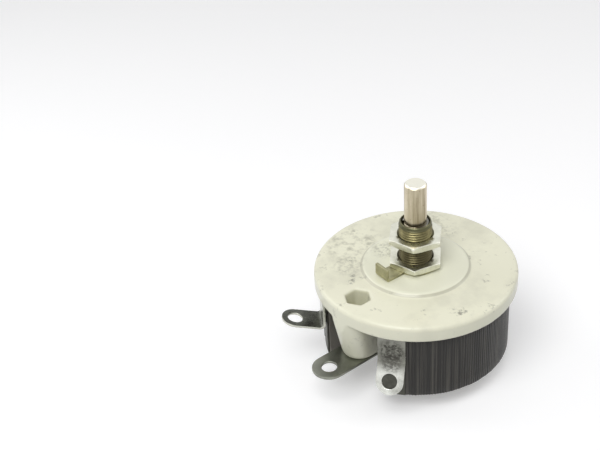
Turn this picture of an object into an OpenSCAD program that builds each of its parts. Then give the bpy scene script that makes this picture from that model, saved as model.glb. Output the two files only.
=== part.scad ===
// Ring-wound power rheostat for panel mounting.
// Millimetres. Z runs along the shaft and Z = 0 is the face that meets the panel.
// The terminals point towards -Y, and the contact arm rests towards +Y, at mid travel.

/* [Shaft] */
// Diameter of the control shaft
shaft_d = 6.35; // [5.6:0.05:7]
// How far the shaft reaches in front of the panel face
shaft_reach = 24; // [17:0.5:40]
// Bevel on the outer end of the shaft
shaft_bevel = 0.5; // [0.2:0.1:1]
// Distance from the axis to the drive flat
drive_flat = 2.4; // [2.1:0.05:2.6]
// Thickness of the snap rings that hold the shaft
snap_t = 0.6; // [0.4:0.05:0.8]
// Width of the snap rings between their inner and outer edge
snap_w = 1.1; // [0.8:0.05:1.2]
// Depth of the snap ring grooves
snap_groove = 0.45; // [0.3:0.05:0.6]

/* [Panel bushing] */
// Outer diameter of the bushing thread
thread_d = 9.525; // [9.2:0.025:10.5]
// Distance from one thread groove to the next
thread_pitch = 0.794; // [0.75:0.002:1]
// Depth of the thread grooves
thread_depth = 0.35; // [0.15:0.05:0.45]
// How far the bushing reaches in front of the panel face
bushing_reach = 11.75; // [9:0.25:15]
// Bevel on the bushing's front edge
bushing_bevel = 0.5; // [0.2:0.1:0.8]
// Width of the snap ring recess around the shaft
recess_gap = 0.9; // [0.8:0.05:1]
// Depth of the snap ring recess
recess_depth = 1; // [0.9:0.05:1.4]
// Size across the flats of the bushing's rear flange
flange_af = 12.7; // [12:0.1:12.9]
// Thickness of the bushing's rear flange
flange_t = 1.5; // [1:0.1:2.5]

/* [Hex nuts] */
// Size across the flats of both nuts
nut_af = 14.2875; // [12.7:0.1:17]
// Thickness of the loose mounting nut
mounting_nut_t = 2; // [1.5:0.1:3]
// Gap between the panel face and the mounting nut
nut_height = 5.56; // [3:0.02:8]
// Thickness of the nut that clamps the base
base_nut_t = 1.9; // [1.5:0.1:3]
// How far the mounting nut is turned
nut_turn = 12.4; // [0:0.2:60]
// How far the base nut is turned
base_nut_turn = 14.4; // [0:0.2:60]
// Countersink at each end of the nut bores
nut_sink = 0.5; // [0.2:0.05:0.8]

/* [Locating plate] */
// Thickness of the sheet
plate_t = 0.8; // [0.5:0.05:1.2]
// Diameter of the disc under the base nut
plate_d = 13.6; // [12:0.2:20]
// Width of the locating tab
tab_w = 5.1; // [3:0.1:8]
// Distance from the axis to the tab's outer face
tab_reach = 12.7; // [11:0.1:14.5]
// How far the tab stands up past the panel face
tab_rise = 1.5; // [1:0.1:3]
// Angle of the tab from the centre line
tab_turn = 2.6; // [0:0.2:10]

/* [Ceramic base] */
// Diameter of the base
base_d = 58.5; // [58:0.25:66]
// Height of the base's rim
rim_h = 4.9; // [4:0.1:7]
// Radius of the rim's front edge
rim_round = 1.5; // [0.5:0.1:2]
// Diameter of the raised platform
platform_d = 30; // [26:0.5:34]
// Height of the raised platform
platform_h = 1; // [0.6:0.1:1.5]
// Outer diameter of the rear boss
boss_d = 24.4; // [24:0.1:25]
// Bore of the rear boss
boss_bore = 15.6; // [15.2:0.1:15.8]
// Length of the rear boss, the foot and the web
boss_len = 13.9; // [12.5:0.1:14.4]
// Thickness of ceramic under the bushing's flange
flange_seat = 7.3; // [5:0.1:7.6]

/* [Foot] */
// Distance from the axis to the foot
foot_reach = 22; // [21.5:0.1:22.4]
// Diameter of the foot at the rim
foot_root_d = 11; // [10.2:0.1:11.4]
// Diameter of the foot at its end
foot_end_d = 9.8; // [9:0.1:10.2]
// Lean of the foot's outer face
foot_lean = 11; // [7:2:11]
// Size across the flats of the nut pocket
pocket_af = 6.6; // [6.55:0.05:7]
// Depth of the nut pocket
pocket_depth = 8.3; // [6:0.1:9]
// Diameter of the foot screw
foot_screw_d = 2.84; // [2.5:0.02:3]
// Size across the flats of the foot nut
foot_nut_af = 6.35; // [5.8:0.05:6.4]
// Thickness of the foot nut
foot_nut_t = 2.4; // [1.8:0.1:3]
// Diameter of the foot screw's head
foot_head_d = 5.4; // [4.6:0.1:5.8]
// Height of the foot screw's head
foot_head_h = 1.9; // [1.2:0.1:2.4]

/* [Wound ring] */
// Outer diameter of the ceramic core
core_d = 53; // [52:0.1:54]
// Thickness of the core between its inner and outer face
core_t = 4.5; // [4:0.1:5]
// Height of the core
core_h = 19.85; // [18:0.05:20]
// Angle left open between the core's ends
core_gap = 46; // [44:0.5:48]
// How far the core shows past each end band
core_end = 2; // [1:0.25:3]
// Angle that each end band covers
band_arc = 15.5; // [14:0.25:17]
// Thickness of the resistance wire and the end bands
wire_t = 0.45; // [0.3:0.01:0.5]
// Number of turns of resistance wire
turns = 164; // [120:1:180]
// Thickness of the enamel coat
enamel_t = 0.2; // [0.1:0.02:0.3]
// Thickness of the enamel that bonds the ring to the base
bond_t = 0.4; // [0.2:0.05:0.6]

/* [Terminals] */
// Width of the two end lugs
lug_w = 7.94; // [6:0.02:8.4]
// Thickness of the lugs and of the slip ring
lug_t = 0.8; // [0.6:0.05:1]
// Diameter of the solder holes
lug_hole_d = 4.4; // [3:0.1:4.6]
// Inner radius of the bends
lug_bend = 0.8; // [0.4:0.1:1.2]
// Gap between the rim and the end lugs
lug_drop = 0.6; // [0.4:0.1:1]
// Length of the right lug on its band
right_pad = 7.6; // [6:0.1:9]
// Length of the right lug's tongue
right_tongue = 9.6; // [8.5:0.1:12]
// Angle that the right tongue is bent out
right_bend = 26; // [5:1:100]
// Length of the left lug on its band
left_pad = 9.6; // [8.4:0.1:10]
// Length of the left lug's tongue
left_tongue = 10.9; // [8.5:0.1:12]
// Angle that the left tongue is bent out
left_bend = 104; // [60:1:110]
// Width of the centre terminal
centre_w = 9.8; // [9:0.1:9.9]
// Distance from the axis to the centre terminal's tip
centre_reach = 38.3; // [36:0.1:42]
// Outer diameter of the slip ring
slip_d = 24; // [23.4:0.1:24.4]
// Width of the slip ring's track
slip_w = 4; // [3.4:0.1:4.1]

/* [Rotor] */
// Angle that the shaft turns from stop to stop
turn_range = 300; // [296:1:304]
// Edge of the hub's flange outside the rivet heads
hub_edge = 0.08; // [0.05:0.01:0.2]
// Thickness of the hub's flange
hub_flange_t = 2.5; // [2:0.1:2.8]
// Diameter of the hub's barrel in front of the flange
barrel_d = 11.4; // [10:0.1:11.6]
// Diameter of the hub's neck behind the flange
neck_d = 12.6; // [11:0.1:13]
// How far the neck stands out behind the flange
neck_h = 1.4; // [1.2:0.05:1.5]
// How far the barrel reaches into the rear boss
barrel_in = 2; // [1:0.25:5]
// Distance from the axis to the stop's inner face
stop_reach = 13.2; // [13:0.05:13.4]
// Thickness of the stop
stop_t = 2.4; // [1.8:0.1:2.6]
// Width of the stop
stop_w = 3; // [2.6:0.1:3.2]
// How far the stop stands up past the slip ring
stop_rise = 3; // [1.5:0.25:5]
// Thickness of the contact arm
arm_t = 0.8; // [0.5:0.05:0.9]
// Width of the contact arm at the hub
arm_root_w = 8; // [6:0.25:10]
// Width of the contact arm at the brush
arm_tip_w = 5.8; // [5.6:0.1:7]
// Height of the brush
brush_h = 1.95; // [1.6:0.05:2]
// Length of the brush across the ring
brush_len = 4.6; // [3:0.1:4.8]
// Width of the brush along the ring
brush_w = 4.4; // [3:0.1:4.8]
// Sheet thickness of the brush holder and the carrier
sheet_t = 0.4; // [0.3:0.05:0.5]
// Thickness of the ring contact
ring_contact_t = 1.15; // [0.9:0.05:1.3]
// Diameter of the spring wire
spring_wire = 0.8; // [0.5:0.05:0.9]
// Number of turns in the spring
spring_turns = 3; // [2:0.25:3.5]
// Diameter of the rivets
rivet_d = 1.8; // [1.4:0.1:2]
// Gap between the spring and the hub rivets' heads
rivet_gap = 0.48; // [0.3:0.02:0.6]
// Thickness of the thrust washer
washer_t = 0.45; // [0.3:0.05:0.5]

/* [Fits] */
// Gap between pieces that are seated on each other
seat_gap = 0.02; // [0.01:0.01:0.03]
// Radial gap of the shaft in its bushing and of the hub on its shaft
running_gap = 0.03; // [0.02:0.01:0.05]
// Radial gap between a screw thread and its nut
thread_gap = 0.05; // [0.03:0.01:0.08]
// Gap between the brushes and the tracks that they slide on
track_gap = 0.05; // [0.03:0.01:0.08]
// Gap left at the stops
stop_gap = 0.3; // [0.1:0.05:0.5]
// Gap around the bushing in the ceramic
ceramic_gap = 0.12; // [0.05:0.01:0.2]

/* [Hidden] */

// Round shapes are drawn with this many sides
$fn = 96;
// Extra length that lets a cut pass through a face
past = 0.5;

// Heights of the fixed pieces, from the panel face backwards
plate_top = -base_nut_t;
platform_z = plate_top - plate_t;
base_top = platform_z - platform_h;
base_back = base_top - rim_h;
flange_z = platform_z - flange_seat;
boss_end = base_back - boss_len;
slip_back = boss_end - lug_t;
pocket_floor = base_top - pocket_depth;

// The layers of the wound ring
enamel_top = base_back - bond_t;
wire_top = enamel_top - enamel_t - seat_gap;
core_top = wire_top - wire_t - seat_gap;
core_back = core_top - core_h;
track_z = core_back - seat_gap - wire_t;
core_r = core_d / 2;
core_bore_r = core_r - core_t;
wire_r = core_r + seat_gap + wire_t;
wire_bore_r = core_bore_r - seat_gap - wire_t;
coat_r = wire_r + seat_gap + enamel_t;
coat_bore_r = wire_bore_r - seat_gap - enamel_t;
ring_mid = (wire_r + wire_bore_r) / 2;

// Angles round the ring, from the middle of its gap
core_from = core_gap / 2;
band_from = core_from + core_end;
coil_from = band_from + band_arc;
coil_arc = 360 - 2 * coil_from;

// Heights of the turning pieces
brush_top = track_z - track_gap;
arm_top = brush_top - brush_h;
arm_back = arm_top - arm_t;
hub_top = arm_top + hub_flange_t;
neck_back = arm_top - neck_h;
washer_back = neck_back - washer_t;
shaft_back = washer_back - 2 * seat_gap - snap_t - snap_groove;
barrel_top = boss_end + barrel_in;
contact_top = slip_back - track_gap;
contact_back = contact_top - ring_contact_t;
carrier_back = contact_back - sheet_t;
stop_top = boss_end + stop_rise;

// The ring contact covers the middle of the slip ring's track
slip_r = slip_d / 2;
slip_bore_r = slip_r - slip_w;
contact_inset = 0.4;
contact_r = slip_r - contact_inset;
contact_bore_r = slip_bore_r + contact_inset;

// The spring fits round the hub's barrel, the rivets round the spring and the carrier's leg round the hub
barrel_gap = 0.2;
spring_r = barrel_d / 2 + spring_wire / 2 + barrel_gap;
rivet_head_r = 0.9 * rivet_d;
rivet_head_h = 0.5;
rivet_reach = spring_r + spring_wire / 2 + rivet_gap + rivet_head_r;
hub_r = rivet_reach + rivet_head_r + hub_edge;
leg_gap = 0.5;
leg_lip = 0.2;
leg_w = 5;
carrier_r = max(contact_r, hub_r + leg_gap + sheet_t + leg_lip);
arm_tail = 0.3;

// Small edges and overlaps
platform_slope = 0.8;
washer_edge = 0.6;
slot_w = 0.8;
screw_end = 0.8;
sunk = 1;

// The web is as wide as the stop needs to end its turn
stop_angle = (360 - turn_range) / 2;
web_w = 2 * (stop_reach * sin(stop_angle) - stop_w / 2 * cos(stop_angle) - stop_gap);

// Thread grooves: the stretch that holds the panel, below the mounting nut, has narrower ones
panel_zone = nut_height - 0.16;
full_groove = 0.7 * thread_pitch;
slim_groove = 0.55 * thread_pitch;
front_grooves = floor((bushing_reach - bushing_bevel - panel_zone) / thread_pitch);
panel_grooves = floor(panel_zone / thread_pitch);
rear_grooves = floor(-platform_z / thread_pitch);

// Snap rings sit in grooves of the shaft
snap_r = shaft_d / 2 - snap_groove + seat_gap;
front_snap_z = bushing_reach - recess_depth + track_gap;
rear_snap_z = washer_back - seat_gap - snap_t;

// A ring between two radii, from z0 up to z1
module ring(r_out, r_in, z0, z1) {
    translate([0, 0, z0]) difference() {
        cylinder(r = r_out, h = z1 - z0);
        translate([0, 0, -past]) cylinder(r = r_in, h = z1 - z0 + 2 * past);
    }
}

// A hexagonal prism across its flats
module hexagon(af, h) cylinder(r = af / 2 / cos(30), h = h, $fn = 6);

// A profile swept round the axis between two angles from the gap's middle
module arc_of_ring(from, arc) {
    rotate([0, 0, -90 + from]) rotate_extrude(angle = arc) children();
}

// A rectangle of the ring's cross-section
module section(r_in, r_out, z0, z1) translate([r_in, z0]) square([r_out - r_in, z1 - z0]);

// A bar that points outwards along +Y
module bar(w, from, to, z0, z1) translate([-w / 2, from, z0]) cube([w, to - from, z1 - z0]);

// Foot: an upright cone and a leaning one, whose outer face runs into the rim
module foot_body() {
    root_r = foot_root_d / 2;
    end_r = foot_end_d / 2;
    h = base_top - boss_end;
    intersection() {
        union() {
            translate([0, -foot_reach, boss_end]) cylinder(r1 = end_r, r2 = root_r, h = h);
            translate([0, -foot_reach, boss_end])
                rotate([foot_lean, 0, 0])
                    cylinder(r1 = end_r, r2 = root_r, h = h + sunk);
        }
        translate([0, 0, boss_end]) cylinder(r = base_d / 2, h = h - sunk);
    }
}

module ceramic_base() color("#e9e4d4") difference() {
    union() {
        translate([0, 0, base_back]) rotate_extrude() union() {
            square([base_d / 2 - rim_round, rim_h]);
            square([base_d / 2, rim_h - rim_round]);
            translate([base_d / 2 - rim_round, rim_h - rim_round]) circle(r = rim_round);
        }
        translate([0, 0, base_top])
            cylinder(r1 = platform_d / 2 + platform_h * platform_slope, r2 = platform_d / 2, h = platform_h);
        translate([0, 0, boss_end]) cylinder(d = boss_d, h = base_back - boss_end);
        translate([-web_w / 2, -foot_reach, boss_end])
            cube([web_w, foot_reach - boss_bore / 2 - sunk, base_back - boss_end]);
        foot_body();
    }
    translate([0, 0, boss_end - past]) cylinder(d = boss_bore, h = flange_z - flange_t - boss_end + past);
    translate([0, 0, boss_end]) hexagon(flange_af + 2 * ceramic_gap, flange_z - boss_end);
    translate([0, 0, boss_end]) cylinder(d = thread_d + 2 * ceramic_gap, h = platform_z - boss_end + past);
    translate([0, -foot_reach, pocket_floor]) rotate([0, 0, 30]) hexagon(pocket_af, pocket_depth + past);
    translate([0, -foot_reach, boss_end - past])
        cylinder(d = foot_screw_d + 2 * ceramic_gap, h = pocket_floor - boss_end + 2 * past);
}

// Groove of the bushing's thread, from z0 upwards
module thread_groove(z0, w) ring(thread_d, thread_d / 2 - thread_depth, z0, z0 + w);

module threaded_bushing() color("#8f8656") difference() {
    union() {
        translate([0, 0, flange_z]) cylinder(d = thread_d, h = bushing_reach - bushing_bevel - flange_z);
        translate([0, 0, bushing_reach - bushing_bevel])
            cylinder(d1 = thread_d, d2 = thread_d - 2 * bushing_bevel, h = bushing_bevel);
        translate([0, 0, flange_z - flange_t]) hexagon(flange_af, flange_t);
    }
    translate([0, 0, flange_z - flange_t - past])
        cylinder(r = shaft_d / 2 + running_gap, h = bushing_reach - flange_z + flange_t + 2 * past);
    translate([0, 0, bushing_reach - recess_depth])
        cylinder(r = shaft_d / 2 + recess_gap, h = recess_depth + past);
    for (i = [1 : panel_grooves]) thread_groove(i * thread_pitch - slim_groove, slim_groove);
    for (i = [0 : front_grooves - 1]) thread_groove(panel_zone + i * thread_pitch, full_groove);
    for (i = [0 : rear_grooves - 1]) thread_groove(-i * thread_pitch - full_groove, full_groove);
}

// Hex nut with its lower face at z0
module hex_nut(t, z0, turn) {
    bore_r = thread_d / 2 + thread_gap;
    translate([0, 0, z0]) rotate([0, 0, turn]) difference() {
        hexagon(nut_af, t);
        translate([0, 0, -past]) cylinder(r = bore_r, h = t + 2 * past);
        translate([0, 0, t - nut_sink])
            cylinder(r1 = bore_r, r2 = bore_r + nut_sink + past, h = nut_sink + past);
        translate([0, 0, -past]) cylinder(r1 = bore_r + nut_sink + past, r2 = bore_r, h = nut_sink + past);
    }
}

module base_nut() color("#c9c8be") hex_nut(base_nut_t, plate_top, base_nut_turn);

module mounting_nut() color("#cfcec4") hex_nut(mounting_nut_t, nut_height, nut_turn);

module locating_plate() color("#bdbba6") rotate([0, 0, -tab_turn]) difference() {
    union() {
        translate([0, 0, platform_z]) cylinder(d = plate_d, h = plate_t);
        mirror([0, 1, 0]) bar(tab_w, 0, tab_reach, platform_z, plate_top);
        mirror([0, 1, 0]) bar(tab_w, tab_reach - plate_t, tab_reach, platform_z, tab_rise);
    }
    translate([0, 0, platform_z - past]) cylinder(r = thread_d / 2 + thread_gap, h = plate_t + 2 * past);
}

module shaft() color("#c4c2b6") difference() {
    union() {
        translate([0, 0, shaft_back]) cylinder(d = shaft_d, h = shaft_reach - shaft_bevel - shaft_back);
        translate([0, 0, shaft_reach - shaft_bevel])
            cylinder(d1 = shaft_d, d2 = shaft_d - 2 * shaft_bevel, h = shaft_bevel);
    }
    ring(shaft_d, shaft_d / 2 - snap_groove, front_snap_z - seat_gap, front_snap_z + snap_t + seat_gap);
    ring(shaft_d, shaft_d / 2 - snap_groove, rear_snap_z - seat_gap, rear_snap_z + snap_t + seat_gap);
    translate([-shaft_d, drive_flat, shaft_back - past])
        cube([2 * shaft_d, shaft_d, barrel_top - shaft_back + past]);
}

// Snap ring: an open ring with a slot towards -Y
module snap_ring(z0) difference() {
    ring(snap_r + snap_w, snap_r, z0, z0 + snap_t);
    mirror([0, 1, 0]) bar(snap_r, 0, shaft_d, z0 - past, z0 + snap_t + past);
}

module front_snap_ring() color("#5d5c58") snap_ring(front_snap_z);

module rear_snap_ring() color("#6a6966") snap_ring(rear_snap_z);

module thrust_washer() color("#a9a79f")
    ring(neck_d / 2 - washer_edge, shaft_d / 2 + running_gap, washer_back, neck_back - seat_gap);

// Bore with a flat, which the shaft's drive flat turns
module drive_bore(z0, z1) difference() {
    translate([0, 0, z0]) cylinder(r = shaft_d / 2 + running_gap, h = z1 - z0);
    bar(2 * shaft_d, drive_flat + running_gap, shaft_d, z0 - past, z1 + past);
}

module hub_rivet_places() for (side = [-1, 1]) translate([side * rivet_reach, 0, 0]) children();

module drive_hub() color("#ddd8c8") difference() {
    union() {
        translate([0, 0, neck_back]) cylinder(d = neck_d, h = neck_h);
        translate([0, 0, arm_top]) cylinder(r = hub_r, h = hub_flange_t);
        translate([0, 0, arm_top]) cylinder(d = barrel_d, h = barrel_top - arm_top);
        bar(stop_w, hub_r - sunk, stop_reach + stop_t, arm_top, hub_top);
        bar(stop_w, stop_reach, stop_reach + stop_t, arm_top, stop_top);
    }
    drive_bore(neck_back - past, barrel_top + past);
    hub_rivet_places() translate([0, 0, arm_top - past])
        cylinder(r = rivet_d / 2 + seat_gap, h = hub_flange_t + 2 * past);
}

// Contact arm: a ring round the hub's neck, a tapering blade and a short tail
module contact_arm() color("#8e9094") difference() {
    tip = ring_mid + brush_len / 2;
    translate([0, 0, arm_back]) linear_extrude(arm_t) union() {
        circle(r = hub_r);
        polygon([[-arm_root_w / 2, 0], [arm_root_w / 2, 0], [arm_root_w / 2, hub_r],
            [arm_tip_w / 2, tip], [-arm_tip_w / 2, tip], [-arm_root_w / 2, hub_r]]);
        translate([-leg_w / 2, -carrier_r - arm_tail]) square([leg_w, carrier_r]);
    }
    translate([0, 0, arm_back - past]) cylinder(r = neck_d / 2 + seat_gap, h = arm_t + 2 * past);
    hub_rivet_places() translate([0, 0, arm_back - past])
        cylinder(r = rivet_d / 2 + seat_gap, h = arm_t + 2 * past);
    translate([0, ring_mid, arm_back - past]) cylinder(r = rivet_d / 2 + seat_gap, h = arm_t + 2 * past);
}

module contact_brush() color("#3c3a38") difference() {
    bar(brush_w, ring_mid - brush_len / 2, ring_mid + brush_len / 2, arm_top, brush_top);
    translate([0, ring_mid, arm_top - past]) cylinder(r = rivet_d / 2 + seat_gap, h = past + brush_h / 2);
}

// Brush holder: two walls along the brush's sides
module brush_holder() color("#a3a197") for (side = [0, 1]) mirror([side, 0, 0])
    translate([brush_w / 2 + seat_gap, ring_mid - brush_len / 2, arm_top])
        cube([sheet_t, brush_len, brush_h / 2]);

// Rivet with its head below z0 and its shank up to z1
module rivet(z0, z1) {
    translate([0, 0, z0]) cylinder(d = rivet_d, h = z1 - z0);
    translate([0, 0, z0 - rivet_head_h]) cylinder(r = rivet_head_r, h = rivet_head_h);
}

module brush_rivet() color("#b4a468")
    translate([0, ring_mid, 0]) rivet(arm_back, arm_top + brush_h / 2 - seat_gap);

module hub_rivets() color("#b4a468") hub_rivet_places() {
    rivet(arm_back, hub_top);
    translate([0, 0, hub_top]) cylinder(r = rivet_head_r, h = rivet_head_h);
}

// Helical spring as one swept tube, closed by its two end faces
module pressure_spring() color("#9c9d9f") {
    sides = 10;
    steps = round(spring_turns * 24);
    z0 = hub_top + seat_gap + spring_wire / 2;
    rise = carrier_back - hub_top - 2 * seat_gap - spring_wire;
    points = [for (i = [0 : steps]) let (a = 360 * spring_turns * i / steps, z = z0 + rise * i / steps)
        for (k = [0 : sides - 1]) let (b = 360 * k / sides, r = spring_r + spring_wire / 2 * cos(b))
            [r * cos(a), r * sin(a), z + spring_wire / 2 * sin(b)]];
    walls = [for (i = [0 : steps - 1]) for (k = [0 : sides - 1])
        [i * sides + k, (i + 1) * sides + k, (i + 1) * sides + (k + 1) % sides, i * sides + (k + 1) % sides]];
    start = [for (k = [0 : sides - 1]) k];
    end = [for (k = [sides - 1 : -1 : 0]) steps * sides + k];
    polyhedron(points, concat([start], walls, [end]));
}

// Carrier: a sheet ring behind the ring contact, with a leg down to the arm
module contact_carrier() color("#b1a878") {
    ring(carrier_r, barrel_d / 2 + barrel_gap, carrier_back, contact_back);
    mirror([0, 1, 0]) bar(leg_w, carrier_r - leg_lip - sheet_t, carrier_r - leg_lip, arm_top, contact_back);
}

module ring_contact() color("#41403f")
    ring(contact_r, contact_bore_r, contact_back + seat_gap, contact_top);

// Slip ring and centre terminal, stamped in one piece
module slip_ring_terminal() color("#a3a8ab") difference() {
    tip_r = centre_w / 2;
    translate([0, 0, slip_back]) linear_extrude(lug_t - seat_gap) union() {
        circle(r = slip_r);
        translate([-tip_r, tip_r - centre_reach]) square([centre_w, centre_reach - tip_r]);
        translate([0, tip_r - centre_reach]) circle(r = tip_r);
    }
    translate([0, 0, slip_back - past]) cylinder(r = slip_bore_r, h = lug_t + 2 * past);
    translate([0, -foot_reach, slip_back - past])
        cylinder(r = foot_screw_d / 2 + thread_gap, h = lug_t + 2 * past);
    translate([0, tip_r - centre_reach, slip_back - past]) cylinder(d = lug_hole_d, h = lug_t + 2 * past);
}

module foot_screw() color("#b9b49a") translate([0, -foot_reach, 0]) difference() {
    union() {
        translate([0, 0, slip_back])
            cylinder(d = foot_screw_d, h = pocket_floor + foot_nut_t + screw_end - slip_back);
        translate([0, 0, slip_back - foot_head_h]) cylinder(d = foot_head_d, h = foot_head_h);
    }
    translate([-foot_head_d, -slot_w / 2, slip_back - foot_head_h - past])
        cube([2 * foot_head_d, slot_w, foot_head_h / 2 + past]);
}

module foot_nut() color("#b7b5a4") translate([0, -foot_reach, pocket_floor]) difference() {
    rotate([0, 0, 30]) hexagon(foot_nut_af, foot_nut_t);
    translate([0, 0, -past]) cylinder(r = foot_screw_d / 2 + thread_gap, h = foot_nut_t + 2 * past);
}

module ceramic_core() color("#e4dfcf") arc_of_ring(core_from, 360 - core_gap)
    section(core_bore_r, core_r, core_back, core_top);

// Resistance wire: one closed frame round the core's section for each turn
module resistance_wire() color("#8d8b86") for (i = [0 : turns - 1])
    rotate([0, 0, -90 + coil_from + coil_arc * (i + 0.5) / turns]) difference() {
        translate([wire_bore_r, -wire_t / 2, track_z])
            cube([wire_r - wire_bore_r, wire_t, wire_top - track_z]);
        translate([core_bore_r - seat_gap, -wire_t, core_back - seat_gap])
            cube([core_t + 2 * seat_gap, 2 * wire_t, core_h + 2 * seat_gap]);
    }

// Enamel coat: it leaves the ring's rear edge bare as the brush track
module enamel_coat() color("#1e1b19") arc_of_ring(coil_from, coil_arc) {
    coat_back = core_back + enamel_t;
    section(wire_r + seat_gap, coat_r, coat_back, enamel_top);
    section(coat_bore_r, wire_bore_r - seat_gap, coat_back, enamel_top);
    section(coat_bore_r, coat_r, enamel_top - enamel_t, enamel_top);
}

module enamel_bond() color("#4a463f") arc_of_ring(core_from, 360 - core_gap)
    section(coat_bore_r, coat_r, enamel_top + seat_gap, base_back - seat_gap);

// End band: a closed sheet loop round the core
module end_band() arc_of_ring(band_from, band_arc) difference() {
    section(wire_bore_r, wire_r, track_z, wire_top);
    section(core_bore_r - seat_gap, core_r + seat_gap, core_back - seat_gap, core_top + seat_gap);
}

module right_end_band() color("#b9b9b4") end_band();

module left_end_band() color("#b9b9b4") mirror([1, 0, 0]) end_band();

// Side view of an end lug: a pad that stands against the band, a bend and a tongue
module lug_profile(pad, tongue, bend) {
    outer_r = lug_bend + lug_t;
    translate([-outer_r, 0]) square([lug_t, pad]);
    difference() {
        circle(r = outer_r);
        circle(r = lug_bend);
        translate([-outer_r - past, 0]) square([2 * outer_r + 2 * past, outer_r + past]);
        rotate(bend) translate([-outer_r - past, -outer_r - past])
            square([2 * outer_r + 2 * past, outer_r + past]);
    }
    rotate(bend) translate([-outer_r, -tongue]) square([lug_t, tongue]);
}

// Round end of a tongue, as the two corners to cut away
module tip_corners() {
    tip_r = lug_w / 2;
    difference() {
        translate([0, -tip_r - past]) square([tip_r + past, lug_w + 2 * past]);
        circle(r = tip_r);
    }
}

module end_lug(pad, tongue, bend) {
    tip_r = lug_w / 2;
    outer_r = lug_bend + lug_t;
    rotate([0, 0, -90 + band_from + band_arc / 2])
        translate([wire_r + seat_gap + outer_r, 0, base_back - lug_drop - pad]) difference() {
            rotate([90, 0, 0]) translate([0, 0, -tip_r]) linear_extrude(lug_w) lug_profile(pad, tongue, bend);
            rotate([0, 90 - bend, 0]) translate([tongue - tip_r, 0, -outer_r - past])
                linear_extrude(lug_t + 2 * past) {
                    tip_corners();
                    circle(d = lug_hole_d);
                }
        }
}

module right_terminal() color("#c8c8c4") end_lug(right_pad, right_tongue, right_bend);

module left_terminal() color("#b4b5b2") mirror([1, 0, 0]) end_lug(left_pad, left_tongue, left_bend);

ceramic_base();
threaded_bushing();
base_nut();
mounting_nut();
locating_plate();
shaft();
front_snap_ring();
rear_snap_ring();
thrust_washer();
drive_hub();
contact_arm();
contact_brush();
brush_holder();
brush_rivet();
hub_rivets();
pressure_spring();
contact_carrier();
ring_contact();
slip_ring_terminal();
foot_screw();
foot_nut();
ceramic_core();
resistance_wire();
enamel_coat();
enamel_bond();
right_end_band();
left_end_band();
right_terminal();
left_terminal();
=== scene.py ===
import math
import random

import bmesh
import bpy
import numpy as np
from mathutils import Matrix, Vector


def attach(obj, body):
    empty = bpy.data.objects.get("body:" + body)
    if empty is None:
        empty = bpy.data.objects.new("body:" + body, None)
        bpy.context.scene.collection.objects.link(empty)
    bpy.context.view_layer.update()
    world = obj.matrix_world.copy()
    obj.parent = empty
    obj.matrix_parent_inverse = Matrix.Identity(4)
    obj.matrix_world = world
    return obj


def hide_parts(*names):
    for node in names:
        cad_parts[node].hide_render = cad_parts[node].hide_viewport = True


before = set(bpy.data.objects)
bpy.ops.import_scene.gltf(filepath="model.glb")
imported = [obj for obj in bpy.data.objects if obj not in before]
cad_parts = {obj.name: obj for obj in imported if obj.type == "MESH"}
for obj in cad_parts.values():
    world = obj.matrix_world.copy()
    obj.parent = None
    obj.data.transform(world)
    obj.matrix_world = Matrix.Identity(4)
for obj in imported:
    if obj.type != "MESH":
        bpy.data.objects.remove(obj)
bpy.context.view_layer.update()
scene = bpy.context.scene

# Sizes below are in millimetres, and meshes are scaled to metres when they are made.
mm = 0.001
tau = 2 * math.pi


def rad(degrees):
    return degrees * math.pi / 180


# Mesh tools

def makeObject(name, verts, faces):
    mesh = bpy.data.meshes.new(name)
    mesh.from_pydata((np.asarray(verts, float) * mm).tolist(), [], [list(map(int, f)) for f in faces])
    obj = bpy.data.objects.new(name, mesh)
    scene.collection.objects.link(obj)
    tidyMesh(obj)
    return obj


def tidyMesh(obj, merge=1e-6):
    bm = bmesh.new()
    bm.from_mesh(obj.data)
    bmesh.ops.remove_doubles(bm, verts=bm.verts, dist=merge)
    bmesh.ops.recalc_face_normals(bm, faces=bm.faces)
    for face in bm.faces:
        face.smooth = True
    bm.to_mesh(obj.data)
    bm.free()


def applyModifier(obj, kind, **settings):
    modifier = obj.modifiers.new(kind, kind)
    for key, value in settings.items():
        setattr(modifier, key, value)
    evaluated = obj.evaluated_get(bpy.context.evaluated_depsgraph_get())
    mesh = bpy.data.meshes.new_from_object(evaluated)
    obj.modifiers.clear()
    obj.data = mesh
    return obj


def evenShading(obj):
    return applyModifier(obj, "WEIGHTED_NORMAL", weight=80, keep_sharp=True)


def joined(name, objs):
    bm = bmesh.new()
    for o in objs:
        bm.from_mesh(o.data)
    mesh = bpy.data.meshes.new(name)
    bm.to_mesh(mesh)
    bm.free()
    for o in objs:
        bpy.data.objects.remove(o)
    obj = bpy.data.objects.new(name, mesh)
    scene.collection.objects.link(obj)
    return obj


def cutAway(obj, cutter):
    applyModifier(obj, "BOOLEAN", operation="DIFFERENCE", solver="EXACT", object=cutter)
    bpy.data.objects.remove(cutter)
    return obj


def moved(obj, x=0, y=0, z=0, turn=0):
    obj.data.transform(Matrix.Translation((x * mm, y * mm, z * mm)) @ Matrix.Rotation(rad(turn), 4, "Z"))
    return obj


def mirrored(obj):
    obj.data.transform(Matrix.Scale(-1, 4, (1, 0, 0)))
    tidyMesh(obj)
    return obj


# The corners (x, y, radius) of a rectangle. One rounding serves all four, or each has its own.
def rectangle(x0, x1, y0, y1, *rounds):
    a, b, c, d = rounds * 4 if len(rounds) == 1 else rounds
    return [(x0, y0, a), (x1, y0, b), (x1, y1, c), (x0, y1, d)]


def hexagon(flats, turn=0):
    reach = flats / 2 / math.cos(rad(30))
    return [(reach * math.cos(rad(turn + 60 * k)), reach * math.sin(rad(turn + 60 * k))) for k in range(6)]


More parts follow.
